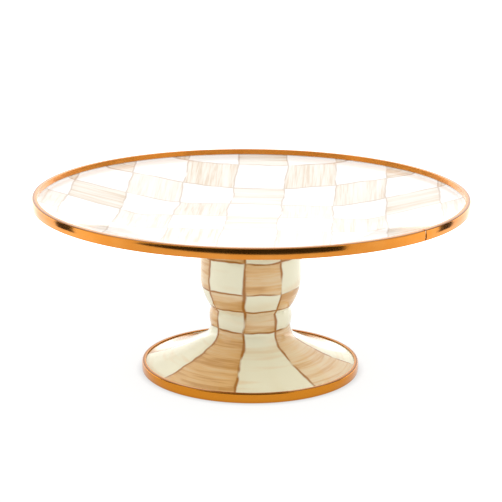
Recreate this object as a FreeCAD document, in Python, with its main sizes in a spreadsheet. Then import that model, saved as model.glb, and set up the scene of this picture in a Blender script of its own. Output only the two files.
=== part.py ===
import FreeCAD, Part

# Footed cake stand in enamelled steel.
#
# A shallow dish with a turned-up edge sits on a hollow pedestal. The pedestal is two pressings, a
# barrel-shaped bulb and a flared foot, joined at the waist. Split strips of bronze-toned stainless
# steel are rolled over the edge of the dish and the edge of the foot. A flanged stud under the
# dish passes through the top of the bulb and is clamped from inside the hollow pedestal.
#
# Millimetres. The origin is on the floor at the centre of the foot, +Z is up, and the front of the
# stand faces -Y.

import math
import os
import re

import Sketcher

SIZES = [
    # the whole stand
    ("stand_height", 128.0, "floor to the top of the dish's rim"),
    ("platter_radius", 152.4, "outside of the dish's rim strip, half of 12 inches"),
    ("foot_radius", 77.2, "outside of the foot's rim strip"),
    ("enamel_wall", 1.4, "steel sheet with enamel on both faces"),
    # the dish, measured on its underside
    ("dish_depth", 22.0, "top of the rim to the flat floor of the dish"),
    ("floor_radius", 76.0, "where the flat floor ends"),
    ("coupe_radius", 56.4, "bend from the floor into the wall"),
    ("coupe_slope", 14.5, "degrees, slope of the wall"),
    ("knuckle_radius", 6.4, "bend from the wall into the turned-up edge"),
    # the rolled strips
    ("strip_sheet", 0.6, "strip thickness"),
    ("strip_play", 0.1, "play between a strip's leg and the edge it grips"),
    ("seam_gap", 0.5, "butt seam where a strip's two ends meet"),
    ("platter_strip_height", 7.3, "face of the dish's strip"),
    ("platter_strip_width", 3.8, "top of the dish's strip, outside to inside"),
    ("inner_leg_height", 3.75, "leg of the dish's strip inside the dish"),
    ("lower_lip_width", 4.6, "lip turned in under the dish"),
    ("platter_seam_azimuth", 47.5, "degrees from the front towards +X"),
    ("foot_strip_height", 6.9, "face of the foot's strip"),
    ("foot_strip_width", 2.8, "top of the foot's strip, outside to inside"),
    ("foot_lip_width", 3.8, "lip turned in under the foot's edge"),
    ("foot_seam_azimuth", 146.0, "degrees from the front towards +X"),
    ("strip_face_bow", 16.0, "radius of the slightly bowed face"),
    ("strip_corner", 0.9, "rounding of a strip's outer corners"),
    # the bulb
    ("waist_height", 46.5, "joint between the bulb and the foot"),
    ("waist_radius", 28.0, "outside of the pedestal at that joint"),
    ("bulb_radius", 35.95, "bulb at its widest"),
    ("bulb_low", 71.0, "where the bulb's lower curve reaches that width"),
    ("bulb_high", 80.0, "where its upper curve leaves it"),
    ("seat_corner", 2.4, "rounding between the bulb's side and its flat seat"),
    # the foot
    ("neck_radius", 28.15, "neck between the collar and the flare"),
    ("neck_height", 33.5, "height of that neck"),
    ("collar_bow", 21.6, "radius of the bowed collar above the neck"),
    ("throat_radius", 13.0, "tight upper part of the flare"),
    ("throat_turn", 60.0, "degrees the flare turns over its upper part"),
    ("sweep_radius", 147.0, "long lower part of the flare"),
    ("sweep_end", 74.4, "radius where the flare ends at the foot's edge"),
    ("sweep_end_height", 6.0, "height of that end"),
    # the clamp inside the pedestal
    ("gasket_thickness", 1.0, "seat gasket"),
    ("gasket_radius", 26.0, "outside of the gasket"),
    ("gasket_bore", 14.0, "inside radius of the gasket"),
    ("stud_radius", 4.0, "threaded stud, M8"),
    ("stud_bottom", 88.0, "lower end of the stud"),
    ("stud_flange_radius", 9.0, "flange welded to the dish"),
    ("stud_flange_thickness", 0.9, "flange thickness"),
    ("stud_chamfer", 0.8, "bevel on the stud's end"),
    ("clearance_radius", 4.4, "hole for the stud"),
    ("clamp_radius", 20.0, "clamp washer"),
    ("clamp_thickness", 2.0, "clamp washer"),
    ("lock_radius", 7.0, "split lock washer"),
    ("lock_bore", 4.1, "inside of the lock washer"),
    ("lock_thickness", 2.0, "lock washer"),
    ("lock_gap", 1.2, "slit in the lock washer"),
    ("nut_flats", 13.0, "nut across its flats"),
    ("nut_height", 6.5, "nut"),
    ("nut_play", 0.05, "play between nut and stud"),
    ("nut_bevel_radius", 6.2, "end face of the nut inside its bevel"),
]

# Heights and radii that several pieces share, in the sheet's own names.
DISH_UNDERSIDE = "(stand_height - dish_depth - enamel_wall)"
EDGE_TOP = "(stand_height - strip_sheet)"
EDGE_RADIUS = "(platter_radius - strip_sheet - strip_play)"
WALL_FOOT_RADIUS = "(floor_radius + coupe_radius * sin(coupe_slope))"
WALL_FOOT_HEIGHT = f"({DISH_UNDERSIDE} + coupe_radius * (1 - cos(coupe_slope)))"
WALL_END_RADIUS = f"({EDGE_RADIUS} - knuckle_radius * (1 - sin(coupe_slope)))"
WALL_RUN = f"({WALL_END_RADIUS} - {WALL_FOOT_RADIUS})"
WALL_END_HEIGHT = f"({WALL_FOOT_HEIGHT} + {WALL_RUN} * tan(coupe_slope))"
SEAT_HEIGHT = f"({DISH_UNDERSIDE} - gasket_thickness)"
CLAMP_TOP = f"({SEAT_HEIGHT} - enamel_wall)"
LOCK_TOP = f"({CLAMP_TOP} - clamp_thickness)"
NUT_TOP = f"({LOCK_TOP} - lock_thickness)"
BULB_NARROWING = "(bulb_radius - waist_radius)"
BULB_CURVE = f"((pow(bulb_low - waist_height, 2) + pow({BULB_NARROWING}, 2)) / 2 / {BULB_NARROWING})"
SKIRT_RADIUS = "(foot_radius - strip_sheet - strip_play)"

SHEET_NAME = "Sizes"
ALIAS = re.compile(r"\b[a-z]+(?:_[a-z]+)+\b")
SAME_PLACE = 0.02
FRONT_ANGLE = -90.0

document = FreeCAD.newDocument("CakeStand")
sheet = document.addObject("Spreadsheet::Sheet", SHEET_NAME)


def fill_sheet():
    for row, (alias, value, meaning) in enumerate(SIZES, start=1):
        sheet.set(f"A{row}", meaning)
        sheet.set(f"B{row}", str(value))
        sheet.setAlias(f"B{row}", alias)
    document.recompute()


def value(expression):
    """The number that an expression in the sheet's names gives."""
    return float(sheet.evalExpression(expression))


def bind(thing, target, expression):
    """Tie a property or constraint to the sheet."""
    thing.setExpression(target, ALIAS.sub(rf"{SHEET_NAME}.\g<0>", expression))


def new_body(label):
    body = document.addObject("PartDesign::Body", label)
    body.Label = label
    return body


def outline_sketch(body):
    """An empty sketch on the body's own upright plane."""
    sketch = body.newObject("Sketcher::SketchObject", f"{body.Label}_outline")
    plane = next(part for part in body.Origin.OriginFeatures if part.Role == "XZ_Plane")
    sketch.AttachmentSupport = [(plane, "")]
    sketch.MapMode = "FlatFace"
    return sketch


def arc_between(start, end, radius):
    """An arc that turns left from start to end, or right for a negative radius.

    Returns the arc and the numbers of its start and end points in a sketch, where every arc runs
    anticlockwise.
    """
    chord = end - start
    left = FreeCAD.Vector(-chord.y, chord.x, 0).normalize()
    sagitta_side = math.sqrt(radius ** 2 - chord.Length ** 2 / 4)
    centre = (start + end) / 2 + left * math.copysign(sagitta_side, radius)
    first, last = (start, end) if radius > 0 else (end, start)
    circle = Part.Circle(centre, FreeCAD.Vector(0, 0, 1), abs(radius))
    angles = [math.atan2(point.y - centre.y, point.x - centre.x) for point in (first, last)]
    ends = (1, 2) if radius > 0 else (2, 1)
    return Part.ArcOfCircle(circle, *angles), ends


def draw_outline(sketch, corners, arcs):
    """Draw a closed outline whose corners are (radius, height) expressions.

    arcs gives, for the number of the corner that an arc starts from, the expression of its radius,
    with a minus sign in front where the arc turns right.
    """
    places = [FreeCAD.Vector(value(across), value(up), 0) for across, up in corners]
    ends = []
    for number, place in enumerate(places):
        following = places[(number + 1) % len(places)]
        if number in arcs:
            curve, points = arc_between(place, following, value(arcs[number]))
        else:
            curve, points = Part.LineSegment(place, following), (1, 2)
        sketch.addGeometry(curve)
        ends.append(points)
    for number, (across, up) in enumerate(corners):
        previous = (number - 1) % len(corners)
        start = ends[number][0]
        sketch.addConstraint(
            Sketcher.Constraint("Coincident", previous, ends[previous][1], number, start)
        )
        pin(sketch, "DistanceX", number, start, across, axis=-2)
        pin(sketch, "DistanceY", number, start, up, axis=-1)
    for number, radius in arcs.items():
        size = value(radius)
        constraint = sketch.addConstraint(Sketcher.Constraint("Radius", number, abs(size)))
        bind(sketch, f"Constraints[{constraint}]", radius.removeprefix("-"))


def pin(sketch, direction, curve, point, expression, axis):
    """Hold a corner at a distance from the origin, or on the axis where that is zero."""
    if expression == "0":
        sketch.addConstraint(Sketcher.Constraint("PointOnObject", curve, point, axis))
        return
    distance = Sketcher.Constraint(direction, -1, 1, curve, point, value(expression))
    constraint = sketch.addConstraint(distance)
    bind(sketch, f"Constraints[{constraint}]", expression)


def turn(body, corners, arcs=None, sweep=None):
    """Revolve an outline about the stand's axis, all round or over a sweep in degrees.

    A partial sweep is centred on +X, so its gap is centred on -X.
    """
    sketch = outline_sketch(body)
    draw_outline(sketch, corners, arcs or {})
    turned = body.newObject("PartDesign::Revolution", f"{body.Label}_turned")
    turned.Profile = sketch
    turned.ReferenceAxis = (sketch, ["V_Axis"])
    turned.Angle = 360.0
    if sweep:
        turned.Midplane = True
        bind(turned, "Angle", sweep)
    document.recompute()
    return turned


def flat_faces(shape, *heights):
    """Names of a shape's horizontal faces at the given heights."""
    wanted = [value(height) for height in heights]
    names = []
    for number, face in enumerate(shape.Faces, start=1):
        level = isinstance(face.Surface, Part.Plane) and abs(face.normalAt(0, 0).z) > 0.99
        if level and any(abs(face.CenterOfMass.z - height) < SAME_PLACE for height in wanted):
            names.append(f"Face{number}")
    return names


def hollow_out(body, turned, *open_heights):
    """Turn a solid form into a pressing of one wall thickness, open at the given heights."""
    shell = body.newObject("PartDesign::Thickness", f"{body.Label}_wall")
    shell.Base = (turned, flat_faces(turned.Shape, *open_heights))
    shell.Mode = "Skin"
    shell.Join = "Arc"
    shell.Reversed = True
    bind(shell, "Value", "enamel_wall")
    document.recompute()
    return shell


def round_rims(body, feature, radius, rims):
    """Round the circular edges that run at the given (radius, height) places."""
    places = [(value(across), value(up)) for across, up in rims]
    names = []
    for number, edge in enumerate(feature.Shape.Edges, start=1):
        if not isinstance(edge.Curve, Part.Circle) or abs(edge.Curve.Axis.z) < 0.99:
            continue
        here = (edge.Curve.Radius, edge.Curve.Center.z)
        if any(math.dist(here, place) < SAME_PLACE for place in places):
            names.append(f"Edge{number}")
    rounding = body.newObject("PartDesign::Fillet", f"{body.Label}_rounding")
    rounding.Base = (feature, names)
    bind(rounding, "Radius", radius)
    document.recompute()
    return rounding


def face_about(body, angle):
    """Turn a body about the stand's axis by an angle in degrees."""
    body.Placement = FreeCAD.Placement(
        FreeCAD.Vector(0, 0, 0), FreeCAD.Rotation(FreeCAD.Vector(0, 0, 1), 0.0)
    )
    bind(body, "Placement.Rotation.Angle", angle)


def split_sweep(gap, radius):
    """Sweep of a strip bent round until its ends are a gap apart."""
    return f"360 - {gap} / {radius} * 180 / pi"


def bow_depth(strip_height):
    """How far the middle of a strip's bowed face stands out from the face's edges."""
    half_face = f"({strip_height} / 2 - strip_corner)"
    return f"(strip_face_bow - sqrt(pow(strip_face_bow, 2) - pow({half_face}, 2)))"


# Dish


def make_platter_pan():
    """Shallow dish: flat floor, curved wall and a turned-up edge for the strip to grip."""
    body = new_body("platter_pan")
    form = turn(
        body,
        [
            ("0", DISH_UNDERSIDE),
            ("floor_radius", DISH_UNDERSIDE),
            (WALL_FOOT_RADIUS, WALL_FOOT_HEIGHT),
            (WALL_END_RADIUS, WALL_END_HEIGHT),
            (EDGE_RADIUS, f"{WALL_END_HEIGHT} + knuckle_radius * cos(coupe_slope)"),
            (EDGE_RADIUS, EDGE_TOP),
            ("0", EDGE_TOP),
        ],
        {1: "coupe_radius", 3: "knuckle_radius"},
    )
    hollow_out(body, form, EDGE_TOP)
    return body


def make_platter_rim_strip():
    """Strip rolled over the dish's edge: short leg inside, bowed face outside, lip underneath."""
    body = new_body("platter_rim_strip")
    low = "(stand_height - platter_strip_height)"
    inside = "(platter_radius - platter_strip_width)"
    channel = "(platter_radius - strip_sheet)"
    lip_end = "(platter_radius - lower_lip_width)"
    leg_end = "(stand_height - inner_leg_height)"
    face = f"(platter_radius - {bow_depth('platter_strip_height')})"
    form = turn(
        body,
        [
            (inside, "stand_height"),
            (inside, leg_end),
            (f"{inside} + strip_sheet", leg_end),
            (f"{inside} + strip_sheet", EDGE_TOP),
            (channel, EDGE_TOP),
            (channel, f"{low} + strip_sheet"),
            (lip_end, f"{low} + strip_sheet"),
            (lip_end, low),
            (f"{face} - strip_corner", low),
            (face, f"{low} + strip_corner"),
            (face, "stand_height - strip_corner"),
            (f"{face} - strip_corner", "stand_height"),
        ],
        {8: "strip_corner", 9: "strip_face_bow", 10: "strip_corner"},
        sweep=split_sweep("seam_gap", "platter_radius"),
    )
    round_rims(body, form, "strip_sheet / 2", [(inside, "stand_height")])
    face_about(body, f"platter_seam_azimuth + {FRONT_ANGLE} - 180")
    return body


# Pedestal


def make_pedestal_bulb():
    """Barrel-shaped pressing with a flat seat on top and an open waist.

    Its outline runs up the outer face and back down the inner one, on arcs with shared centres.
    """
    body = new_body("pedestal_bulb")
    centre = f"(bulb_radius - {BULB_CURVE})"
    rise = f"({SEAT_HEIGHT} - seat_corner - bulb_high)"
    reach = f"({BULB_CURVE} - seat_corner)"
    run = f"sqrt(pow({reach}, 2) - pow({rise}, 2))"
    inner_curve = f"({BULB_CURVE} - enamel_wall)"
    waist_run = f"sqrt(pow({inner_curve}, 2) - pow(bulb_low - waist_height, 2))"

    def shoulder(curve):
        """Where the upper curve, of this radius, runs into the corner of the seat."""
        across = f"{centre} + {run} / {reach} * {curve}"
        return across, f"bulb_high + {rise} / {reach} * {curve}"

    turn(
        body,
        [
            ("waist_radius", "waist_height"),
            ("bulb_radius", "bulb_low"),
            ("bulb_radius", "bulb_high"),
            shoulder(BULB_CURVE),
            (f"{centre} + {run}", SEAT_HEIGHT),
            ("clearance_radius", SEAT_HEIGHT),
            ("clearance_radius", CLAMP_TOP),
            (f"{centre} + {run}", CLAMP_TOP),
            shoulder(inner_curve),
            ("bulb_radius - enamel_wall", "bulb_high"),
            ("bulb_radius - enamel_wall", "bulb_low"),
            (f"{centre} + {waist_run}", "waist_height"),
        ],
        {
            0: BULB_CURVE,
            2: BULB_CURVE,
            3: "seat_corner",
            7: "-(seat_corner - enamel_wall)",
            8: f"-{inner_curve}",
            10: f"-{inner_curve}",
        },
    )
    return body


def make_pedestal_foot():
    """Flared pressing: bowed collar, narrow neck, trumpet flare and a turned-down skirt."""
    body = new_body("pedestal_foot")
    throat_end = "(neck_radius + throat_radius * (1 - cos(throat_turn)))"
    throat_end_height = "(neck_height - throat_radius * sin(throat_turn))"
    skirt_drop = f"({SKIRT_RADIUS} - sweep_end)"
    form = turn(
        body,
        [
            ("0", "strip_sheet"),
            (SKIRT_RADIUS, "strip_sheet"),
            (SKIRT_RADIUS, f"sweep_end_height - {skirt_drop}"),
            ("sweep_end", "sweep_end_height"),
            (throat_end, throat_end_height),
            ("neck_radius", "neck_height"),
            ("waist_radius", "waist_height"),
            ("0", "waist_height"),
        ],
        {2: f"{skirt_drop} * 1.12", 3: "-sweep_radius", 4: "-throat_radius", 5: "collar_bow"},
    )
    hollow_out(body, form, "strip_sheet", "waist_height")
    return body


def make_foot_rim_strip():
    """Strip rolled over the foot's skirt, with a lip underneath that the stand rests on."""
    body = new_body("foot_rim_strip")
    inside = "(foot_radius - foot_strip_width)"
    channel = "(foot_radius - strip_sheet)"
    lip_end = "(foot_radius - foot_lip_width)"
    face = f"(foot_radius - {bow_depth('foot_strip_height')})"
    form = turn(
        body,
        [
            (inside, "foot_strip_height"),
            (inside, "foot_strip_height - strip_sheet"),
            (channel, "foot_strip_height - strip_sheet"),
            (channel, "strip_sheet"),
            (lip_end, "strip_sheet"),
            (lip_end, "0"),
            (f"{face} - strip_corner", "0"),
            (face, "strip_corner"),
            (face, "foot_strip_height - strip_corner"),
            (f"{face} - strip_corner", "foot_strip_height"),
        ],
        {6: "strip_corner", 7: "strip_face_bow", 8: "strip_corner"},
        sweep=split_sweep("seam_gap", "foot_radius"),
    )
    round_rims(body, form, "strip_sheet / 3", [(inside, "foot_strip_height")])
    face_about(body, f"foot_seam_azimuth + {FRONT_ANGLE} - 180")
    return body


# Clamp between dish and pedestal


def make_ring(label, bore, radius, low, high, sweep=None):
    body = new_body(label)
    turn(body, [(bore, low), (radius, low), (radius, high), (bore, high)], sweep=sweep)
    return body


def make_seat_gasket():
    """Rubber ring that keeps the dish's enamel off the pedestal's."""
    return make_ring("seat_gasket", "gasket_bore", "gasket_radius", SEAT_HEIGHT, DISH_UNDERSIDE)


def make_platter_stud():
    """Flanged stud welded under the middle of the dish."""
    body = new_body("platter_stud")
    flange_low = f"{DISH_UNDERSIDE} - stud_flange_thickness"
    turn(
        body,
        [
            ("0", "stud_bottom"),
            ("stud_radius - stud_chamfer", "stud_bottom"),
            ("stud_radius", "stud_bottom + stud_chamfer"),
            ("stud_radius", flange_low),
            ("stud_flange_radius", flange_low),
            ("stud_flange_radius", DISH_UNDERSIDE),
            ("0", DISH_UNDERSIDE),
        ],
    )
    return body


def make_clamp_washer():
    """Wide washer that spreads the nut's load under the bulb's seat."""
    return make_ring("clamp_washer", "clearance_radius", "clamp_radius", LOCK_TOP, CLAMP_TOP)


def make_lock_washer():
    """Split spring washer."""
    sweep = split_sweep("lock_gap", "lock_radius")
    return make_ring("lock_washer", "lock_bore", "lock_radius", NUT_TOP, LOCK_TOP, sweep)


def make_clamp_nut():
    """Hexagon nut, bevelled on its lower end."""
    blank = document.addObject("Part::Prism", "nut_blank")
    blank.Polygon = 6
    bind(blank, "Circumradius", "nut_flats / sqrt(3)")
    bind(blank, "Height", "nut_height")
    bevel = document.addObject("Part::Cone", "nut_bevel")
    bind(bevel, "Radius1", "nut_bevel_radius")
    bind(bevel, "Radius2", "nut_bevel_radius + nut_height / tan(30)")
    bind(bevel, "Height", "nut_height")
    hexagon = document.addObject("Part::Common", "nut_hexagon")
    hexagon.Base = blank
    hexagon.Tool = bevel
    bore = document.addObject("Part::Cylinder", "nut_bore")
    bind(bore, "Radius", "stud_radius + nut_play")
    bind(bore, "Height", "nut_height")
    nut = document.addObject("Part::Cut", "clamp_nut")
    nut.Label = "clamp_nut"
    nut.Base = hexagon
    nut.Tool = bore
    bind(nut, "Placement.Base.z", f"{NUT_TOP} - nut_height")
    document.recompute()
    return nut


def check(pieces):
    """Stop if any object failed or any piece isn't one valid solid."""
    for thing in document.Objects:
        bad = {"Invalid", "Error"} & set(thing.State)
        if bad:
            raise RuntimeError(f"{thing.Label}: {sorted(bad)}")
    for piece in pieces:
        shape = piece.Shape
        if shape.isNull() or not shape.isValid() or len(shape.Solids) != 1:
            raise RuntimeError(f"{piece.Label}: not one valid solid")


def write(pieces):
    os.makedirs("parts", exist_ok=True)
    for piece in pieces:
        piece.Shape.exportStep(f"parts/{piece.Label}.step")
        box = piece.Shape.optimalBoundingBox(False)
        print(
            f"{piece.Label:20s} {piece.Shape.Volume / 1000:8.2f} cm3"
            f"  radius {box.XMax:6.2f}  z {box.ZMin:7.2f} to {box.ZMax:7.2f}"
        )


def main():
    fill_sheet()
    pieces = [
        make_platter_pan(),
        make_platter_rim_strip(),
        make_pedestal_bulb(),
        make_pedestal_foot(),
        make_foot_rim_strip(),
        make_seat_gasket(),
        make_platter_stud(),
        make_clamp_washer(),
        make_lock_washer(),
        make_clamp_nut(),
    ]
    document.recompute()
    check(pieces)
    write(pieces)


main()
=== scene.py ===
# %% [markdown]
# # A footed cake stand in painted enamel
#
# The stand is a shallow dish on a hollow pedestal, both pressed from steel sheet and coated with
# glassy enamel that is painted by hand in loose checks. Strips of bronze-toned steel are rolled
# over the two cut edges. Every piece is round, so one Geometry Nodes tree turns most of them from
# an outline, as a potter would. The paint comes from shader nodes.
#
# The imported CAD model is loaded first. It gives the sizes and places of everything that follows.

# %% Load the frame
import math

import bmesh
import bpy
from mathutils import Euler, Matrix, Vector


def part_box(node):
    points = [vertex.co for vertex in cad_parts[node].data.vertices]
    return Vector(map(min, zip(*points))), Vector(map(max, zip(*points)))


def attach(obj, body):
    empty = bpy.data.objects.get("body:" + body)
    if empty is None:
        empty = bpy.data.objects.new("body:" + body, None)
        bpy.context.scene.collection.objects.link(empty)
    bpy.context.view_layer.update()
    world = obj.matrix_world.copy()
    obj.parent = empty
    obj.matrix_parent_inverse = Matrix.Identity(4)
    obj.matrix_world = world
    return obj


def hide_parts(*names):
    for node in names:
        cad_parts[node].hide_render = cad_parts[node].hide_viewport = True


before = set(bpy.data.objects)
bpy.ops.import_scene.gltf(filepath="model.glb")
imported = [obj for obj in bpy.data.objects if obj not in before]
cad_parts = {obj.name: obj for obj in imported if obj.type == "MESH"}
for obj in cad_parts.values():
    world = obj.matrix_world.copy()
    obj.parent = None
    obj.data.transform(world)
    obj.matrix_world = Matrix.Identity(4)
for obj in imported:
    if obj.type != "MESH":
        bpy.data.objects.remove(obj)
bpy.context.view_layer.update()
MM = 0.001
bpy.context.scene.view_settings.view_transform = "Standard"
print("frame nodes:", ", ".join(sorted(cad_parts)))

# %% [markdown]
# ## Camera
#
# The stand is seen from a little above, at about 15 degrees, from a distance of 1.2 metres. A long
# lens keeps the dish's ellipse flat, as a shop display does. The camera's place is worked out
# from its height and distance, so the angle is easy to change.

# %% Camera
CAMERA_DISTANCE = 1.2098
CAMERA_HEIGHT = 0.4094
CAMERA_PITCH = math.radians(14.97)
CAMERA_ROLL = math.radians(0.437)
CAMERA_LENS = 127.76

camera_data = bpy.data.cameras.new("camera")
camera_data.lens = CAMERA_LENS
camera = bpy.data.objects.new("camera", camera_data)
bpy.context.scene.collection.objects.link(camera)
tilt = Euler((math.pi / 2 - CAMERA_PITCH, 0, 0)).to_matrix()
roll = Euler((0, 0, CAMERA_ROLL)).to_matrix()
camera.matrix_world = (tilt @ roll).to_4x4()
camera.location = (0, -CAMERA_DISTANCE, CAMERA_HEIGHT)
bpy.context.scene.camera = camera
print("camera at", tuple(round(c, 3) for c in camera.location))

# %% [markdown]
# ## Writing shader maths
#
# A painted pattern is mostly arithmetic on the surface's coordinates. Wired by hand, a formula of
# ten terms is ten Math nodes, which nobody can read afterwards. The class below wraps a socket and
# overloads Python's operators, so that the formula can be written as one and the Math nodes appear
# by themselves. Every other kind of node comes from the one method `node`.

# %% Shader helper


class Wire:
    """An output socket. Arithmetic on it adds Math nodes to its tree."""

    def __init__(self, tree, socket=None):
        self.tree = tree
        self.socket = socket

    def node(self, kind, settings=None, sockets=None, output=0):
        """Add a node: its settings first, then the values or links of its sockets."""
        made = self.tree.nodes.new(kind)
        for name, setting in (settings or {}).items():
            setattr(made, name, setting)
        for name, source in (sockets or {}).items():
            if isinstance(source, Wire):
                self.tree.links.new(source.socket, made.inputs[name])
            else:
                made.inputs[name].default_value = source
        return Wire(self.tree, made.outputs[output] if len(made.outputs) else None)

    def math(self, operation, *others):
        """Add a Math node. This wire is its first input and the others follow."""
        return self.node(
            "ShaderNodeMath", {"operation": operation}, dict(enumerate((self, *others)))
        )

    def __add__(self, other):
        return self.math("ADD", other)

    def __sub__(self, other):
        return self.math("SUBTRACT", other)

    def __rsub__(self, other):
        return self.math("MULTIPLY_ADD", -1.0, other)

    def __mul__(self, other):
        return self.math("MULTIPLY", other)

    def __truediv__(self, other):
        return self.math("DIVIDE", other)

    def __gt__(self, other):
        return self.math("GREATER_THAN", other)

    __radd__ = __add__
    __rmul__ = __mul__

    def ramp(self, low, high):
        """0 at low, 1 at high, and a smooth step between them. low may be the larger."""
        settings = {"interpolation_type": "SMOOTHSTEP"}
        return self.node("ShaderNodeMapRange", settings, {0: self, 1: low, 2: high})

    def blend(self, one, other):
        """The colour one where this wire is 0 and the colour other where it is 1."""
        settings = {"data_type": "RGBA"}
        return self.node("ShaderNodeMix", settings, {0: self, 6: one, 7: other}, output=2)


def split(vector):
    """The three components of a vector."""
    parts = vector.node("ShaderNodeSeparateXYZ", {}, {0: vector})
    outputs = parts.socket.node.outputs
    return [Wire(vector.tree, output) for output in outputs]


def join(x, y, z):
    """A vector from three numbers, of which at least one is a wire."""
    wire = next(part for part in (x, y, z) if isinstance(part, Wire))
    return wire.node("ShaderNodeCombineXYZ", {}, {0: x, 1: y, 2: z})


def noise(x, y, z, size, detail=2.0, rough=0.5):
    """Smooth noise from 0 to 1, with features of about the given size."""
    sockets = {"Vector": join(x, y, z), "Scale": 1 / size, "Detail": detail, "Roughness": rough}
    return Wire(x.tree).node("ShaderNodeTexNoise", {}, sockets)


def chance(i, j, seed):
    """One random number from 0 to 1 for each whole i and j."""
    return i.node("ShaderNodeTexWhiteNoise", {}, {"Vector": join(i, j, seed)})


def new_material(name, **constants):
    """A material with a Principled surface. constants are values set on the shader's sockets."""
    material = bpy.data.materials.new(name)
    material.use_nodes = True
    surface = material.node_tree.nodes["Principled BSDF"]
    for socket, number in constants.items():
        surface.inputs[socket.replace("_", " ")].default_value = number
    return material, surface, Wire(material.node_tree)


def feed(surface, **wires):
    """Link wires to the shader's sockets. Base_Color stands for the socket Base Color."""
    for socket, wire in wires.items():
        wire.tree.links.new(wire.socket, surface.inputs[socket.replace("_", " ")])


def mask_of(wire):
    """The vertex attribute called mask, from 0 to 1. It marks faces that get their own finish."""
    return wire.node("ShaderNodeAttribute", {"attribute_name": "mask"}, {}, output="Fac")


def relief(height):
    """A normal that shows a height in metres."""
    sockets = {"Strength": 1.0, "Distance": 1.0, "Height": height}
    return height.node("ShaderNodeBump", {}, sockets)


# %% [markdown]
# ## Brush strokes and checks
#
# The decorator brushes thin tan glaze over a white or cream ground, one check after another. Three
# things make it look done by hand. The lattice wanders, because no line is ruled. Each check has
# its own strength, and shows the bristles as fine streaks along the stroke. The glaze gathers at
# the ends of a stroke and in corners, where it fires to a thin brown line.
#
# The same painter works on the dish and on the pedestal, so one function paints both. It is told
# which check a point is in, how far it is from the check's edges, and where it is along and across
# the strokes. All lengths are in metres.

# %% The painter
STROKE_LENGTH = 90 * MM
STROKE_END = 6 * MM
SOFT_EDGE = 0.5 * MM
LINE_LENGTH = 20 * MM
POOL_SPACING = 9 * MM
POOL_RADIUS = 2.8 * MM
TINT_SIZE = 9 * MM
LUCK_SEED = 3.0
STREAK_SEEDS = 9.0
I_LINE_SEED = 23.0
J_LINE_SEED = 29.0
POOL_SEED = 31.0
TINT_SEED = 41.0


def brush_marks(first, second, seed, along_second, lane):
    """Streaks from 0 to 1 of a brush drawn along one of two surface coordinates. lane is the
    width that a tuft of bristles leaves."""
    stretch = lane / STROKE_LENGTH
    across_first = noise(first, second * stretch, seed, lane, 3.0, 0.8)
    across_second = noise(first * stretch, second, seed, lane, 3.0, 0.8)
    streaks = across_second + (across_first - across_second) * along_second
    return streaks.ramp(0.30, 0.70)


def fired_line(distance, width, presence):
    """A thin line of gathered glaze at a distance of 0. It is wider where presence is high, and
    breaks off where it is low."""
    body = 1 - (distance / (width * (0.45 + presence))).ramp(0.2, 1.0)
    return body * presence.ramp(0.22, 0.48)


def painted_checks(cell, edges, place, along_second, palette):
    """Colour and height, from 0 to about 1, of hand-painted checks.

    cell: whole numbers (i, j); checks where i + j is even are brushed with glaze.
    edges: distances to the nearest lattice line across i and across j.
    place: two surface coordinates in metres.
    along_second: 0 for strokes along the first coordinate, 1 for the second.
    palette: the colours and amounts that the glaze is made with. lane is in metres, i_line and
    j_line are line widths in metres, and the other amounts are shares, where 1 is plenty.
    """
    i, j = cell
    across_i, across_j = edges
    first, second = place
    brushed = 1 - (i + j).math("FLOORED_MODULO", 2.0)
    luck = chance(i, j, LUCK_SEED)
    nearest = across_i.math("MINIMUM", across_j)

    streaks = brush_marks(first, second, luck * STREAK_SEEDS, along_second, palette["lane"])
    cover = brushed * nearest.ramp(-0.4 * SOFT_EDGE, SOFT_EDGE)
    contrast = palette["contrast"]
    body = (0.6 + 0.5 * luck) * (1 - contrast + 2 * contrast * streaks) * palette["strength"]
    glaze = (body * cover).math("MINIMUM", 1.0)
    stroke_ends = across_i.ramp(STROKE_END, 0.0) * streaks
    heavy = streaks.ramp(0.55, 1.0) + 0.6 * stroke_ends
    heavy = heavy * cover * (0.3 + 0.7 * luck) * palette["streaks"]

    i_presence = noise(first, second, I_LINE_SEED, LINE_LENGTH, 1.0)
    j_presence = noise(first, second, J_LINE_SEED, LINE_LENGTH, 1.0)
    lines = fired_line(across_i, palette["i_line"], i_presence)
    lines = lines.math("MAXIMUM", fired_line(across_j, palette["j_line"], j_presence))
    to_corner = (across_i * across_i + across_j * across_j).math("SQRT")
    pools = noise(first, second, POOL_SEED, POOL_SPACING, 1.0).ramp(0.5, 0.7)
    blob = (1 - to_corner.ramp(0.1 * POOL_RADIUS, POOL_RADIUS)) * pools * 0.9
    marks = (lines.math("MAXIMUM", blob) * palette["lines"]).math("MINIMUM", 1.0)

    tint = noise(first * 0.2, second, TINT_SEED, TINT_SIZE, 1.0).ramp(0.5, 0.75)
    colour = (tint * palette["tint"]).blend(palette["ground"], palette["glaze"])
    colour = glaze.blend(colour, palette["glaze"])
    colour = heavy.math("MINIMUM", 1.0).blend(colour, palette["streak"])
    colour = marks.blend(colour, palette["line"])
    return colour, glaze * streaks + marks


def enamel(name, painted):
    """A glassy enamel coat. painted adds the pattern and returns its colour, the height of its
    brush marks from 0 to about 1, and the form's own unevenness in metres."""
    material, surface, recipe = new_material(name, IOR=1.5)
    place = recipe.node("ShaderNodeTexCoord", output="Object")
    x, y, z = split(place)
    colour, marks, form = painted(x, y, z)
    ripple = noise(x, y, z, 16 * MM, 1.0) * (0.05 * MM)
    orange_peel = noise(x, y, z, 1.6 * MM, 1.0) * (0.0016 * MM)
    height = form + ripple + orange_peel + marks * (0.004 * MM)
    gloss = 0.07 + 0.06 * noise(x, y, z, 25 * MM)
    feed(surface, Base_Color=colour, Roughness=gloss, Normal=relief(height))
    return material


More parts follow.
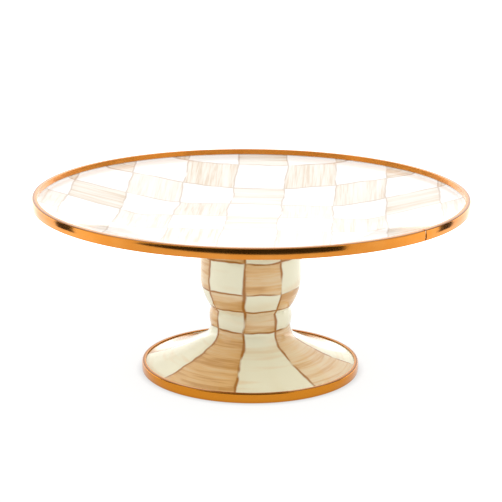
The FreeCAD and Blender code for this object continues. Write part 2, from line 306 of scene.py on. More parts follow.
# %% [markdown]
# ## The dish's paint
#
# The dish's lattice is square, 38 millimetres to a check, and sits a few degrees askew of the
# front, with one glazed check in the middle. It is laid over the turned shape from above, so plain
# x and y coordinates carry it up the wall without stretching that anyone could see. The glaze here
# is a thin wash on white.

# %% Dish enamel
CHECK = 37.9 * MM
LATTICE_TURN = math.radians(-3.5)
DISH_WANDER = 6 * MM
DISH_WANDER_SIZE = 30 * MM
FLOOR_REACH = 80 * MM
FLOOR_BOW_RADIUS = 2.0
WASH = {
    "ground": (0.90, 0.89, 0.86, 1),
    "glaze": (0.70, 0.57, 0.42, 1),
    "streak": (0.56, 0.41, 0.27, 1),
    "line": (0.42, 0.27, 0.17, 1),
    "strength": 0.56,
    "contrast": 0.45,
    "lane": 4.0 * MM,
    "streaks": 0.5,
    "lines": 0.55,
    "i_line": 0.9 * MM,
    "j_line": 1.2 * MM,
    "tint": 0.06,
}
PLAIN_ENAMEL = (0.80, 0.77, 0.66, 1)


def dish_paint(x, y, z):
    """The dish's checks. Strokes run from front to back in two columns out of three, and across
    in the third. The relief also bows the floor by a hair, as firing does to a pressed sheet."""
    u = x * math.cos(LATTICE_TURN) + y * math.sin(LATTICE_TURN)
    v = y * math.cos(LATTICE_TURN) - x * math.sin(LATTICE_TURN)
    u_wander = (noise(x, y, 1.0, DISH_WANDER_SIZE) - 0.5) * DISH_WANDER
    v_wander = (noise(x, y, 5.0, DISH_WANDER_SIZE) - 0.5) * DISH_WANDER
    columns = (u + u_wander) / CHECK + 0.5
    rows = (v + v_wander) / CHECK + 0.5
    i = columns.math("FLOOR")
    j = rows.math("FLOOR")
    edges = [
        (0.5 - (count.math("FRACT") - 0.5).math("ABSOLUTE")) * CHECK for count in (columns, rows)
    ]
    front_to_back = i.math("FLOORED_MODULO", 3.0) > 0.5
    colour, marks = painted_checks((i, j), edges, (u, v), front_to_back, WASH)
    top_face = mask_of(x)
    colour = top_face.blend(PLAIN_ENAMEL, colour)
    reach = (x * x + y * y).math("SQRT").math("MINIMUM", FLOOR_REACH)
    bow = reach * reach / (2 * FLOOR_BOW_RADIUS)
    return colour, marks * top_face, bow * top_face


dish_enamel = enamel("dish_enamel", dish_paint)
print("dish enamel:", len(dish_enamel.node_tree.nodes), "nodes")

# %% [markdown]
# ## The pedestal's paint
#
# Round the pedestal the lattice follows the form: eight columns, and five rows whose heights suit
# the bulb, the collar and the flare. The columns come from the angle about the axis and the rows
# from the height, and the strokes run round the form because it turns under the brush. The glaze
# is stronger than on the dish and the ground is cream.

# %% Pedestal enamel
COLUMN_COUNT = 8
COLUMN_START = math.radians(-8.0)
ROW_LINES = [34 * MM, 49.8 * MM, 63 * MM, 86 * MM]
COLUMN_WANDER = 5 * MM
COLUMN_WANDER_SIZE = 14 * MM
ROW_WANDER = 4 * MM
ROW_WANDER_SIZE = 18 * MM
GLAZE = {
    "ground": (0.82, 0.79, 0.60, 1),
    "glaze": (0.71, 0.44, 0.19, 1),
    "streak": (0.56, 0.30, 0.10, 1),
    "line": (0.37, 0.15, 0.03, 1),
    "strength": 1.05,
    "contrast": 0.3,
    "lane": 8 * MM,
    "streaks": 1.25,
    "lines": 1.0,
    "i_line": 1.6 * MM,
    "j_line": 1.1 * MM,
    "tint": 0.35,
}


def pedestal_paint(x, y, z):
    """The pedestal's checks. Rows are counted from 1 at the foot, columns from the front."""
    radius = (x * x + y * y).math("SQRT")
    wander = (noise(x, y, z + 3.0, COLUMN_WANDER_SIZE, 1.5) - 0.5) * COLUMN_WANDER
    angle = x.math("ARCTAN2", y * -1.0) + wander / radius
    height = z + (noise(x, y, z + 6.0, ROW_WANDER_SIZE, 1.5) - 0.5) * ROW_WANDER
    step = math.tau / COLUMN_COUNT
    columns = (angle - COLUMN_START) / step
    i = columns.math("FLOOR").math("FLOORED_MODULO", float(COLUMN_COUNT))
    from_middle = (columns.math("FRACT") - 0.5).math("ABSOLUTE")
    across_i = (0.5 - from_middle) * radius * step
    j = sum((height > line) for line in ROW_LINES) + 1
    across_j = (height - ROW_LINES[0]).math("ABSOLUTE")
    for line in ROW_LINES[1:]:
        across_j = across_j.math("MINIMUM", (height - line).math("ABSOLUTE"))
    round_form = angle * radius
    up_form = z - radius
    place = (round_form, up_form)
    colour, marks = painted_checks((i, j), (across_i, across_j), place, 0.0, GLAZE)
    outer_face = mask_of(x)
    colour = outer_face.blend(PLAIN_ENAMEL, colour)
    return colour, marks * outer_face, 0.0


pedestal_enamel = enamel("pedestal_enamel", pedestal_paint)
print("pedestal enamel:", len(pedestal_enamel.node_tree.nodes), "nodes")

# %% [markdown]
# ## Metals and rubber
#
# The strips are stainless steel with a bronze tone, polished along their length. Polishing leaves
# hair lines that run round the stand, so the noise behind the roughness and the relief is
# stretched round the axis. A dark reflection is painted along the outer corner of the lip, where a
# mask on the mesh makes the corner darker. Near the floor the bronze is painted darker and deeper,
# as painted shade from the floor that it reflects. The fixings inside the pedestal are zinc
# plated: the plating's faint cloudiness is noise in colour and roughness. The gasket is plain
# rubber with a bloom.

# %% Bronze, zinc and rubber
BRONZE = (0.69, 0.25, 0.036, 1)
BRONZE_WORN = (0.75, 0.31, 0.065, 1)
# Painted shade: the bronze as it looks while reflecting the shaded floor near the foot, darker and
# deeper.
BRONZE_FLOOR_SHADE = (0.62, 0.225, 0.02, 1)
# Painted reflection: the colour of a dark line along the lip's outer corner.
LIP_DARK_REFLECTION = (0.22, 0.08, 0.015, 1)
ZINC_DARK = (0.48, 0.49, 0.50, 1)
ZINC_PALE = (0.70, 0.70, 0.66, 1)
RUBBER = (0.22, 0.21, 0.20, 1)
RUBBER_BLOOM = (0.34, 0.33, 0.31, 1)
# Heights where the painted floor shade on the bronze begins and where it is full.
FLOOR_SHADE_FROM = 20 * MM
FLOOR_SHADE_FULL = 5 * MM
HAIR_LINE_WIDTH = 0.25 * MM
HAIR_LINE_LENGTH = 8 * MM


def bronze_material():
    """Polished bronze-toned steel, with painted shade near the floor and a painted dark reflection
    along the lip's corner.
    """
    material, surface, recipe = new_material("bronzed_steel", Metallic=1.0)
    x, y, z = split(recipe.node("ShaderNodeTexCoord", output="Object"))
    radius = (x * x + y * y).math("SQRT")
    angle = x.math("ARCTAN2", y * -1.0)
    hair_lines = noise(angle * HAIR_LINE_LENGTH, radius, z, HAIR_LINE_WIDTH)
    cloud = noise(x, y, z, 12 * MM)
    colour = (cloud.ramp(0.35, 0.75) * 0.5).blend(BRONZE, BRONZE_WORN)
    # Painted shade: darker, deeper bronze near the floor stands in for the shaded floor that it
    # reflects.
    floor_shade = z.ramp(FLOOR_SHADE_FROM, FLOOR_SHADE_FULL)
    colour = floor_shade.blend(colour, BRONZE_FLOOR_SHADE)
    # Painted reflection: the mask puts a dark line along the lip's outer corner.
    colour = (mask_of(x).ramp(0.3, 0.9) * 0.85).blend(colour, LIP_DARK_REFLECTION)
    gloss = 0.10 + 0.06 * hair_lines + 0.03 * cloud
    bump = relief(hair_lines * (0.0012 * MM) + cloud * (0.02 * MM))
    feed(surface, Base_Color=colour, Roughness=gloss, Normal=bump)
    return material


def zinc_material():
    """Zinc plating with a faint cloudiness."""
    material, surface, recipe = new_material("zinc_steel", Metallic=1.0)
    x, y, z = split(recipe.node("ShaderNodeTexCoord", output="Object"))
    cloud = noise(x, y, z, 3 * MM, 4.0)
    colour = cloud.blend(ZINC_DARK, ZINC_PALE)
    gloss = 0.25 + 0.25 * cloud
    feed(surface, Base_Color=colour, Roughness=gloss, Normal=relief(cloud * (0.02 * MM)))
    return material


def rubber_material():
    """Dark rubber with a pale bloom."""
    material, surface, recipe = new_material("gasket_rubber", Metallic=0.0)
    x, y, z = split(recipe.node("ShaderNodeTexCoord", output="Object"))
    bloom = noise(x, y, z, 5 * MM, 5.0)
    colour = bloom.blend(RUBBER, RUBBER_BLOOM)
    gloss = 0.6 + 0.25 * bloom
    feed(surface, Base_Color=colour, Roughness=gloss, Normal=relief(bloom * (0.04 * MM)))
    return material


bronze = bronze_material()
zinc = zinc_material()
rubber = rubber_material()
print("metals and rubber:", bronze.name, zinc.name, rubber.name)

# %% [markdown]
# ## Outlines
#
# A turned piece is known by its outline: radius and height along one cut. The helper draws it as
# a turner would mark it out, with corners and a bend radius between some of them. A positive bend
# turns left from one corner to the next, a negative one right. Arcs are divided finely, because
# the enamel and the metal are glossy and a coarse arc would show as facets in the reflections.

# %% Outline helper
ARC_STEP = math.radians(3)
MITRE_LIMIT = 0.5


def arc_points(start, end, bend):
    """Points along an arc from start to end, without the last."""
    chord = end - start
    left = Vector((-chord.y, chord.x)).normalized()
    from_chord = math.sqrt(max(bend ** 2 - chord.length_squared / 4, 0))
    centre = (start + end) / 2 + left * math.copysign(from_chord, bend)
    sweep = 2 * math.asin(min(chord.length / 2 / abs(bend), 1.0))
    steps = max(2, math.ceil(sweep / ARC_STEP))
    spoke = start - centre
    turn = math.copysign(sweep, bend) / steps
    points = []
    for step in range(steps):
        c, s = math.cos(turn * step), math.sin(turn * step)
        points.append(centre + Vector((spoke.x * c - spoke.y * s, spoke.x * s + spoke.y * c)))
    return points


def outline(*corners):
    """Points of an outline. Each corner is (radius, height), with a third number for the bend of
    the arc that leads on from it."""
    points = []
    for corner, following in zip(corners, corners[1:]):
        start, end = Vector(corner[:2]), Vector(following[:2])
        if len(corner) == 3:
            points.extend(arc_points(start, end, corner[2]))
        else:
            points.append(start)
    points.append(Vector(corners[-1][:2]))
    return points


def wall_of(points, wall):
    """The inner face of a pressing: the outline moved left by the wall's thickness."""
    moved = []
    for number, point in enumerate(points):
        before = points[max(number - 1, 0)]
        after = points[min(number + 1, len(points) - 1)]
        into = (point - before).normalized() if number else (after - point).normalized()
        out = (after - point).normalized() if number < len(points) - 1 else into
        left = Vector((-into.y, into.x))
        bisector = (left + Vector((-out.y, out.x))).normalized()
        mitre = max(bisector.dot(left), MITRE_LIMIT)
        moved.append(point + bisector * wall / mitre)
    return moved


# %% [markdown]
# ## The turning tree
#
# Sweeping an outline round a circle makes a turned piece. The tree below takes the outline as a
# chain of edges, makes it a curve, and uses it as the profile on a circular path. An arc instead of
# a full circle leaves the seam of a split strip open, with capped ends. The profile keeps the
# distance to the axis because the path's own radius is taken off first. Poles on the axis are
# merged, so the form is closed. The tree ends in Realize Instances and Set Material.

# %% Turning tree
PATH_RADIUS = 0.1
SMALLEST = 1e-6
FULL_TURN = math.tau - 1e-5


def add_node(tree, kind, sockets, settings=None):
    """Add a node with its settings, then the values or links of its sockets. Returns its output."""
    made = tree.nodes.new(kind)
    for name, setting in (settings or {}).items():
        setattr(made, name, setting)
    for name, source in sockets.items():
        if isinstance(source, bpy.types.NodeSocket):
            tree.links.new(source, made.inputs[name])
        else:
            made.inputs[name].default_value = source
    return made.outputs[0] if len(made.outputs) else None


def new_tree(name, inputs):
    """A Geometry Nodes tree with a geometry going in and out, and named inputs with defaults."""
    tree = bpy.data.node_groups.new(name, "GeometryNodeTree")
    face = tree.interface
    face.new_socket("Geometry", in_out="OUTPUT", socket_type="NodeSocketGeometry")
    face.new_socket("Geometry", in_out="INPUT", socket_type="NodeSocketGeometry")
    for label, (kind, default) in inputs.items():
        socket = face.new_socket(label, in_out="INPUT", socket_type=f"NodeSocket{kind}")
        if default is not None:
            socket.default_value = default
    return tree, tree.nodes.new("NodeGroupInput").outputs


def end_tree(tree, geometry, material):
    """Make the geometry real, give it its material and end the tree with it."""
    real = add_node(tree, "GeometryNodeRealizeInstances", {"Geometry": geometry})
    coat = add_node(tree, "GeometryNodeSetMaterial", {"Geometry": real, "Material": material})
    add_node(tree, "NodeGroupOutput", {"Geometry": coat})


def turning_tree():
    """The tree that turns an outline."""
    tree, inputs = new_tree(
        "turning",
        {
            "Round steps": ("Int", 256),
            "Start": ("Float", 0.0),
            "Sweep": ("Float", math.tau),
            "Material": ("Material", None),
        },
    )
    profile = add_node(tree, "GeometryNodeMeshToCurve", {"Mesh": inputs["Geometry"]})
    size = {"Resolution": inputs["Round steps"], "Radius": PATH_RADIUS}
    ring = add_node(tree, "GeometryNodeCurvePrimitiveCircle", size)
    span = {"Start Angle": inputs["Start"], "Sweep Angle": inputs["Sweep"]}
    part_ring = add_node(tree, "GeometryNodeCurveArc", {**size, **span})
    test = {"A": inputs["Sweep"], "B": FULL_TURN}
    is_split = add_node(tree, "FunctionNodeCompare", test, {"operation": "LESS_THAN"})
    choice = {"Switch": is_split, "False": ring, "True": part_ring}
    path = add_node(tree, "GeometryNodeSwitch", choice, {"input_type": "GEOMETRY"})
    sweep = {"Curve": path, "Profile Curve": profile, "Fill Caps": is_split}
    swept = add_node(tree, "GeometryNodeCurveToMesh", sweep)
    merge = {"Geometry": swept, "Distance": SMALLEST}
    closed = add_node(tree, "GeometryNodeMergeByDistance", merge)
    end_tree(tree, closed, inputs["Material"])
    return tree


turning = turning_tree()
print("turning tree:", len(turning.nodes), "nodes")


# %% [markdown]
# ## From outline to finished piece
#
# The outline becomes a chain of edges, the tree turns it, and new_from_object takes the result as
# a plain mesh, which is what the frame and the export need. Where the two ends of the sweep decide
# which way the faces point, recalculating the normals settles it. Faces are smooth except where
# the outline has a real corner. A vertex attribute called mask may hold one number for each point
# of the outline, and the materials use it to give some faces their own finish.

# %% Piece makers
SHARP_ANGLE = math.radians(32)


def set_inputs(modifier, values):
    """Set a modifier's inputs by the identifiers of their sockets."""
    for item in modifier.node_group.interface.items_tree:
        if item.in_out == "INPUT" and item.name in values:
            modifier[item.identifier] = values[item.name]


def finish_mesh(mesh):
    """Merge doubles, point the faces outwards and smooth them."""
    work = bmesh.new()
    work.from_mesh(mesh)
    bmesh.ops.remove_doubles(work, verts=work.verts, dist=SMALLEST)
    bmesh.ops.recalc_face_normals(work, faces=work.faces)
    work.to_mesh(mesh)
    work.free()
    mesh.shade_smooth()
    mesh.set_sharp_from_angle(angle=SHARP_ANGLE)


def grown(name, start_mesh, tree, values):
    """The plain mesh object that a tree makes from a start mesh."""
    source = bpy.data.objects.new(f"{name}_source", start_mesh)
    bpy.context.scene.collection.objects.link(source)
    modifier = source.modifiers.new("tree", "NODES")
    modifier.node_group = tree
    set_inputs(modifier, values)
    graph = bpy.context.evaluated_depsgraph_get()
    mesh = bpy.data.meshes.new_from_object(source.evaluated_get(graph))
    source.modifiers.remove(modifier)
    bpy.data.objects.remove(source)
    finish_mesh(mesh)
    piece = bpy.data.objects.new(name, mesh)
    bpy.context.scene.collection.objects.link(piece)
    print(f"{name}: {len(mesh.vertices)} vertices, {len(mesh.polygons)} faces")
    return piece


def turned(name, points, material, closed=True, mask=None, start=0.0, sweep=math.tau, steps=256):
    """A piece turned from an outline. mask holds one number for each point, if it is given."""
    mesh = bpy.data.meshes.new(f"{name}_outline")
    places = [(point.x - PATH_RADIUS, -point.y, 0) for point in points]
    count = len(places)
    edges = [(n, n + 1) for n in range(count - 1)]
    if closed:
        edges.append((count - 1, 0))
    mesh.from_pydata(places, edges, [])
    if mask:
        mesh.attributes.new("mask", "FLOAT", "POINT").data.foreach_set("value", mask)
    values = {"Round steps": steps, "Start": start, "Sweep": sweep, "Material": material}
    return grown(name, mesh, turning, values)


def place_piece(piece, node):
    """Let the piece stand for a CAD node and ride with the stand."""
    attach(piece, "root")
    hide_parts(node)


# %% [markdown]
# ## The dish
#
# The dish is pressed from one sheet: a flat floor, a short bend, a wall at 14.5 degrees, and an
# edge that turns up into the strip. Its outline is drawn along the underside and its top face is
# that line moved by the sheet's thickness, as in the press. The floor is divided into rings so
# that the smooth shading stays even across it.

# %% Dish
pan_low, pan_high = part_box("platter_pan")
WALL = 1.4 * MM
FLOOR_RADIUS = 76 * MM
FLOOR_BEND = 56.4 * MM
WALL_SLOPE = math.radians(14.5)
EDGE_BEND = 6.4 * MM
RING_SPACING = 4 * MM


def dish_underside():
    """Outline of the underside, from the axis to the top of the turned-up edge."""
    edge = pan_high.x
    foot = FLOOR_RADIUS + FLOOR_BEND * math.sin(WALL_SLOPE)
    foot_height = pan_low.z + FLOOR_BEND * (1 - math.cos(WALL_SLOPE))
    end = edge - EDGE_BEND * (1 - math.sin(WALL_SLOPE))
    end_height = foot_height + (end - foot) * math.tan(WALL_SLOPE)
    rings = [(n * RING_SPACING, pan_low.z) for n in range(int(FLOOR_RADIUS / RING_SPACING))]
    wall = [
        (foot + (end - foot) * share, foot_height + (end_height - foot_height) * share)
        for share in (0.25, 0.5, 0.75)
    ]
    return outline(
        *rings,
        (FLOOR_RADIUS, pan_low.z, FLOOR_BEND),
        (foot, foot_height),
        *wall,
        (end, end_height, EDGE_BEND),
        (edge, end_height + EDGE_BEND * math.cos(WALL_SLOPE)),
        (edge, pan_high.z),
    )


underside = dish_underside()
top_face = wall_of(underside, WALL)
top_face[0].x = 0
dish_points = underside + top_face[::-1]
dish_mask = [0.0] * len(underside) + [1.0] * len(top_face)
dish = turned("dish", dish_points, dish_enamel, closed=False, mask=dish_mask, steps=360)
place_piece(dish, "platter_pan")

# %% [markdown]
# ## The rolled strips
#
# Each strip starts flat, is folded over the edge like a hem, and meets itself in a butt seam. The
# hem has a short leg inside, a slightly bowed face outside and a lip underneath. An arc path leaves
# the half millimetre of the seam open: the dish's is at the front right, the foot's at the back.
# The mask is 1 on the top outer corner, where a dark reflection is painted on the strip, and fades
# across the lip.

# %% Strips
SHEET = 0.6 * MM
FACE_BOW = 16 * MM
ROUND = 0.9 * MM
SEAM = 0.5 * MM
DISH_SEAM = math.radians(47.5)
FOOT_SEAM = math.radians(146.0)
FRONT = -math.pi / 2
# Width of the painted dark reflection along the lip's outer corner.
DARK_REFLECTION_WIDTH = 1.2 * MM


def hem_outline(node, top_width, leg, lip):
    """A hem's outline, its mask and its outer radius. The hem has a leg down inside, a face
    outside and a lip underneath. leg may be the sheet's thickness alone."""
    low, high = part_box(node)
    outer = max(high.x, -low.x)
    half_face = (high.z - low.z) / 2 - ROUND
    bow = FACE_BOW - math.sqrt(FACE_BOW ** 2 - half_face ** 2)
    face = outer - bow
    inside = outer - top_width
    channel = outer - SHEET
    edge = SHEET / 3
    corners = [
        (inside, high.z - edge),
        (inside, high.z - leg + edge, edge),
        (inside + edge, high.z - leg),
    ]
    if leg > SHEET:
        corners += [
            (inside + SHEET, high.z - leg),
            (inside + SHEET, high.z - SHEET),
        ]
    corners += [
        (channel, high.z - SHEET),
        (channel, low.z + SHEET),
        (outer - lip, low.z + SHEET),
        (outer - lip, low.z),
        (face - ROUND, low.z, ROUND),
        (face, low.z + ROUND, FACE_BOW),
        (face, high.z - ROUND, ROUND),
        (face - ROUND, high.z),
        (inside + edge, high.z, edge),
        (inside, high.z - edge),
    ]
    points = outline(*corners)[:-1]
    # The mask marks the top outer corner, where a dark reflection is painted.
    mask = [
        float(point.x > outer - DARK_REFLECTION_WIDTH and point.y > high.z - ROUND / 3) for point in points
    ]
    return points, mask, outer


def strip(name, node, seam_at, top_width, leg, lip):
    """A rolled strip whose seam is at an angle from the front."""
    points, mask, radius = hem_outline(node, top_width, leg, lip)
    gap = SEAM / radius
    start = seam_at + FRONT + gap / 2
    span = {"start": start, "sweep": math.tau - gap, "steps": 400}
    piece = turned(name, points, bronze, mask=mask, **span)
    place_piece(piece, node)


dish_hem = {"top_width": 3.8 * MM, "leg": 3.75 * MM, "lip": 4.6 * MM}
foot_hem = {"top_width": 2.8 * MM, "leg": SHEET, "lip": 3.8 * MM}
strip("dish_strip", "platter_rim_strip", DISH_SEAM, **dish_hem)
strip("foot_strip", "foot_rim_strip", FOOT_SEAM, **foot_hem)

# %% [markdown]
# ## The pedestal
#
# The pedestal is two pressings that meet at the waist. The bulb is barrel-shaped with a flat seat
# for the dish. The foot has a bowed collar, a neck and a trumpet flare that ends in a turned-down
# skirt inside its strip. Both are drawn on their outer face and given their wall by the same move
# as the dish. The mask is 1 on the outer face. Inside they are plain enamel.

# %% Bulb and foot
bulb_low, bulb_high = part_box("pedestal_bulb")
foot_low, foot_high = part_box("pedestal_foot")
WAIST_RADIUS = 28 * MM
BULB_FULL_FROM = 71 * MM
BULB_FULL_TO = 80 * MM
SEAT_CORNER = 2.4 * MM
STUD_HOLE = 4.4 * MM
NECK_RADIUS = 28.15 * MM
NECK_HEIGHT = 33.5 * MM
COLLAR_BOW = 21.6 * MM
THROAT_RADIUS = 13 * MM
THROAT_TURN = math.radians(60)
SWEEP_RADIUS = 147 * MM
SWEEP_END = 74.4 * MM
SWEEP_END_HEIGHT = 6 * MM
SKIRT_BEND = 1.12


def bulb_outline():
    """The bulb's outer face, from the waist to the hole in its seat."""
    full = bulb_high.x
    narrowing = full - WAIST_RADIUS
    curve = ((BULB_FULL_FROM - bulb_low.z) ** 2 + narrowing ** 2) / 2 / narrowing
    centre = full - curve
    reach = curve - SEAT_CORNER
    rise = bulb_high.z - SEAT_CORNER - BULB_FULL_TO
    run = math.sqrt(reach ** 2 - rise ** 2)
    shoulder = (centre + run / reach * curve, BULB_FULL_TO + rise / reach * curve, SEAT_CORNER)
    return outline(
        (WAIST_RADIUS, bulb_low.z, curve),
        (full, BULB_FULL_FROM),
        (full, BULB_FULL_TO, curve),
        shoulder,
        (centre + run, bulb_high.z),
        (STUD_HOLE, bulb_high.z),
    )


def foot_outline():
    """The foot's outer face, from the skirt to the waist. SKIRT_BEND is the skirt's bend radius
    for each metre of its drop."""
    skirt = foot_high.x
    drop = skirt - SWEEP_END
    throat_end = NECK_RADIUS + THROAT_RADIUS * (1 - math.cos(THROAT_TURN))
    throat_end_height = NECK_HEIGHT - THROAT_RADIUS * math.sin(THROAT_TURN)
    return outline(
        (skirt, foot_low.z),
        (skirt, SWEEP_END_HEIGHT - drop, drop * SKIRT_BEND),
        (SWEEP_END, SWEEP_END_HEIGHT, -SWEEP_RADIUS),
        (throat_end, throat_end_height, -THROAT_RADIUS),
        (NECK_RADIUS, NECK_HEIGHT, COLLAR_BOW),
        (WAIST_RADIUS, foot_high.z),
    )


def pressing(name, node, outer):
    """A pressed and enamelled piece, drawn on its outer face."""
    inner = wall_of(outer, WALL)
    inner[0].y = outer[0].y
    mask = [1.0] * len(outer) + [0.0] * len(inner)
    piece = turned(name, outer + inner[::-1], pedestal_enamel, mask=mask)
    place_piece(piece, node)


pressing("bulb", "pedestal_bulb", bulb_outline())
pressing("foot", "pedestal_foot", foot_outline())

# %% [markdown]
# ## The clamp inside the pedestal
#
# A stud welded under the dish goes through the bulb's seat, with a rubber ring between the two
# enamel faces. A wide washer, a split lock washer and a nut pull them together from inside the
# hollow pedestal. The washers and the ring are turned with eased edges. The lock washer's slit
# is left open by an arc path, like a strip's seam.

# %% Washers and gasket
GASKET_BORE = 14 * MM
WASHER_BORE = 4.4 * MM
LOCK_BORE = 4.1 * MM
LOCK_RADIUS = 7 * MM
LOCK_SLIT = 1.2 * MM
EASED_EDGE = 0.3 * MM
LOCK_EDGE = 0.2 * MM


def ring_outline(node, bore, ease):
    """A flat ring's outline with its four edges eased."""
    low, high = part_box(node)
    radius = max(high.x, -low.x)
    return outline(
        (bore + ease, low.z),
        (radius - ease, low.z, ease),
        (radius, low.z + ease),
        (radius, high.z - ease, ease),
        (radius - ease, high.z),
        (bore + ease, high.z, ease),
        (bore, high.z - ease),
        (bore, low.z + ease, ease),
        (bore + ease, low.z),
    )[:-1]


gasket_points = ring_outline("seat_gasket", GASKET_BORE, EASED_EDGE)
gasket = turned("gasket", gasket_points, rubber, steps=128)
place_piece(gasket, "seat_gasket")

washer_points = ring_outline("clamp_washer", WASHER_BORE, EASED_EDGE)
washer = turned("washer", washer_points, zinc, steps=128)
place_piece(washer, "clamp_washer")

lock_points = ring_outline("lock_washer", LOCK_BORE, LOCK_EDGE)
slit = LOCK_SLIT / LOCK_RADIUS
lock_span = {"start": math.pi + slit / 2, "sweep": math.tau - slit, "steps": 96}
lock = turned("lock", lock_points, zinc, **lock_span)
place_piece(lock, "lock_washer")

# %% [markdown]
# ## The stud
#
# The stud is a plain core under a round flange, with a rolled thread. A thread could be cut as a
# groove, but a ridge laid on the core is far lighter and looks the same at this size. It follows a
# path, so a second tree sweeps a small profile along a spiral and joins it to the turned core.

# %% Threaded stud
THREAD_PITCH = 1.25 * MM
THREAD_DEPTH = 0.6 * MM
STUD_RADIUS = 4 * MM
FLANGE_RADIUS = 9 * MM
FLANGE = 0.9 * MM
STUD_BEVEL = 0.8 * MM
stud_low, stud_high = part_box("platter_stud")


def thread_tree():
    """The tree that winds a ridge up the stud and joins it to the core."""
    tree, inputs = new_tree(
        "thread",
        {
            "Core radius": ("Float", 3.4 * MM),
            "Length": ("Float", 10 * MM),
            "Turns": ("Float", 8.0),
            "Ridge": ("Float", THREAD_DEPTH),
            "Start height": ("Float", 0.0),
            "Material": ("Material", None),
        },
    )
    turns = {
        "Resolution": 48,
        "Rotations": inputs["Turns"],
        "Start Radius": inputs["Core radius"],
        "End Radius": inputs["Core radius"],
        "Height": inputs["Length"],
    }
    spiral = add_node(tree, "GeometryNodeCurveSpiral", turns)
    size = {"Resolution": 6, "Radius": inputs["Ridge"]}
    ridge = add_node(tree, "GeometryNodeCurvePrimitiveCircle", size)
    sweep = {"Curve": spiral, "Profile Curve": ridge, "Fill Caps": True}
    swept = add_node(tree, "GeometryNodeCurveToMesh", sweep)
    lift = add_node(tree, "ShaderNodeCombineXYZ", {"Z": inputs["Start height"]})
    raised = add_node(tree, "GeometryNodeTransform", {"Geometry": swept, "Translation": lift})
    both = add_node(tree, "GeometryNodeJoinGeometry", {"Geometry": raised})
    tree.links.new(inputs["Geometry"], both.node.inputs[0])
    end_tree(tree, both, inputs["Material"])
    return tree


core_radius = STUD_RADIUS - THREAD_DEPTH
flange_low = stud_high.z - FLANGE
core_points = outline(
    (0, stud_low.z),
    (core_radius - STUD_BEVEL, stud_low.z),
    (core_radius, stud_low.z + STUD_BEVEL),
    (core_radius, flange_low - 2 * THREAD_PITCH),
    (STUD_RADIUS, flange_low - 2 * THREAD_PITCH + THREAD_DEPTH),
    (STUD_RADIUS, flange_low),
    (FLANGE_RADIUS, flange_low),
    (FLANGE_RADIUS, stud_high.z),
    (0, stud_high.z),
)
core = turned("stud_core", core_points, zinc, closed=False, steps=64)
thread_length = flange_low - 3 * THREAD_PITCH - stud_low.z - STUD_BEVEL
thread_values = {
    "Core radius": core_radius,
    "Length": thread_length,
    "Turns": thread_length / THREAD_PITCH,
    "Ridge": THREAD_DEPTH,
    "Start height": stud_low.z + STUD_BEVEL,
    "Material": zinc,
}
stud = grown("stud", core.data.copy(), thread_tree(), thread_values)
bpy.data.objects.remove(core)
place_piece(stud, "platter_stud")

# %% [markdown]
# ## The nut
#
# A nut is a hexagon whose lower corners are cut by a cone, which leaves the curved bevels. Boolean
# cuts would make them too, but leave untidy faces. Here the nut is a stack of rings of points. The
# bevel comes from lifting each point by how far it lies outside the cone's foot.

# %% Nut
NUT_FLATS = 13 * MM
NUT_BORE = 4.05 * MM
NUT_BEVEL_RADIUS = 6.2 * MM
BEVEL_SLOPE = math.tan(math.radians(30))
nut_low, nut_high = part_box("clamp_nut")
AROUND_NUT = 120


def nut_ring(radius_at, height_at):
    """One ring of points, whose radius and height depend on the angle."""
    points = []
    for step in range(AROUND_NUT):
        angle = math.tau * step / AROUND_NUT
        to_flat = (angle % (math.pi / 3)) - math.pi / 6
        hexagon = NUT_FLATS / 2 / math.cos(to_flat)
        radius = radius_at(hexagon)
        points.append((radius * math.cos(angle), radius * math.sin(angle), height_at(hexagon)))
    return points


def nut_piece():
    """The nut, from a ring at the lower bore, out and up, to a ring at the upper bore."""

    def bevelled(hexagon):
        return nut_low.z + max(hexagon - NUT_BEVEL_RADIUS, 0) * BEVEL_SLOPE

    rings = [
        nut_ring(lambda hexagon: NUT_BORE, lambda hexagon: nut_low.z),
        nut_ring(lambda hexagon: NUT_BEVEL_RADIUS, lambda hexagon: nut_low.z),
        nut_ring(lambda hexagon: hexagon, bevelled),
        nut_ring(lambda hexagon: hexagon, lambda hexagon: nut_high.z),
        nut_ring(lambda hexagon: NUT_BORE, lambda hexagon: nut_high.z),
    ]
    faces = []
    for level in range(len(rings)):
        here, above = level * AROUND_NUT, (level + 1) % len(rings) * AROUND_NUT
        for step in range(AROUND_NUT):
            following = (step + 1) % AROUND_NUT
            faces.append((here + step, here + following, above + following, above + step))
    mesh = bpy.data.meshes.new("nut")
    mesh.from_pydata([point for ring in rings for point in ring], [], faces)
    mesh.materials.append(zinc)
    finish_mesh(mesh)
    piece = bpy.data.objects.new("nut", mesh)
    bpy.context.scene.collection.objects.link(piece)
    return piece


nut = nut_piece()
place_piece(nut, "clamp_nut")
print("nut:", len(nut.data.polygons), "faces")

# %% [markdown]
# ## The floor
#
# The stand is in a white studio: a pale floor that glows a little, so that only a faint shadow is
# left under the foot, and soft light from all round. What a glossy thing looks like is mostly what
# it reflects, so the light is not even. The floor glows most at the sides and behind, where lamps
# would light it.

# %% Floor
FLOOR_SIZE = 9.0
FLOOR_DROP = 0.15 * MM
FLOOR_GREY = (0.17, 0.17, 0.17, 1)
SHADE_GLOW = 0.35
FLOOR_GLOW = 0.84
LAMP_GLOW = 1.3
REAR_LAMP_GLOW = 0.7
SHADE_RADIUS = 0.069
OPEN_RADIUS = 0.083
LAMPS_FROM = 0.11
LAMPS_FULL = 0.35


def flat_card(name, corners, material):
    """A flat staging piece with four corners."""
    mesh = bpy.data.meshes.new(name)
    mesh.from_pydata(corners, [], [(0, 1, 2, 3)])
    mesh.materials.append(material)
    card = bpy.data.objects.new(name, mesh)
    bpy.context.scene.collection.objects.link(card)
    return card


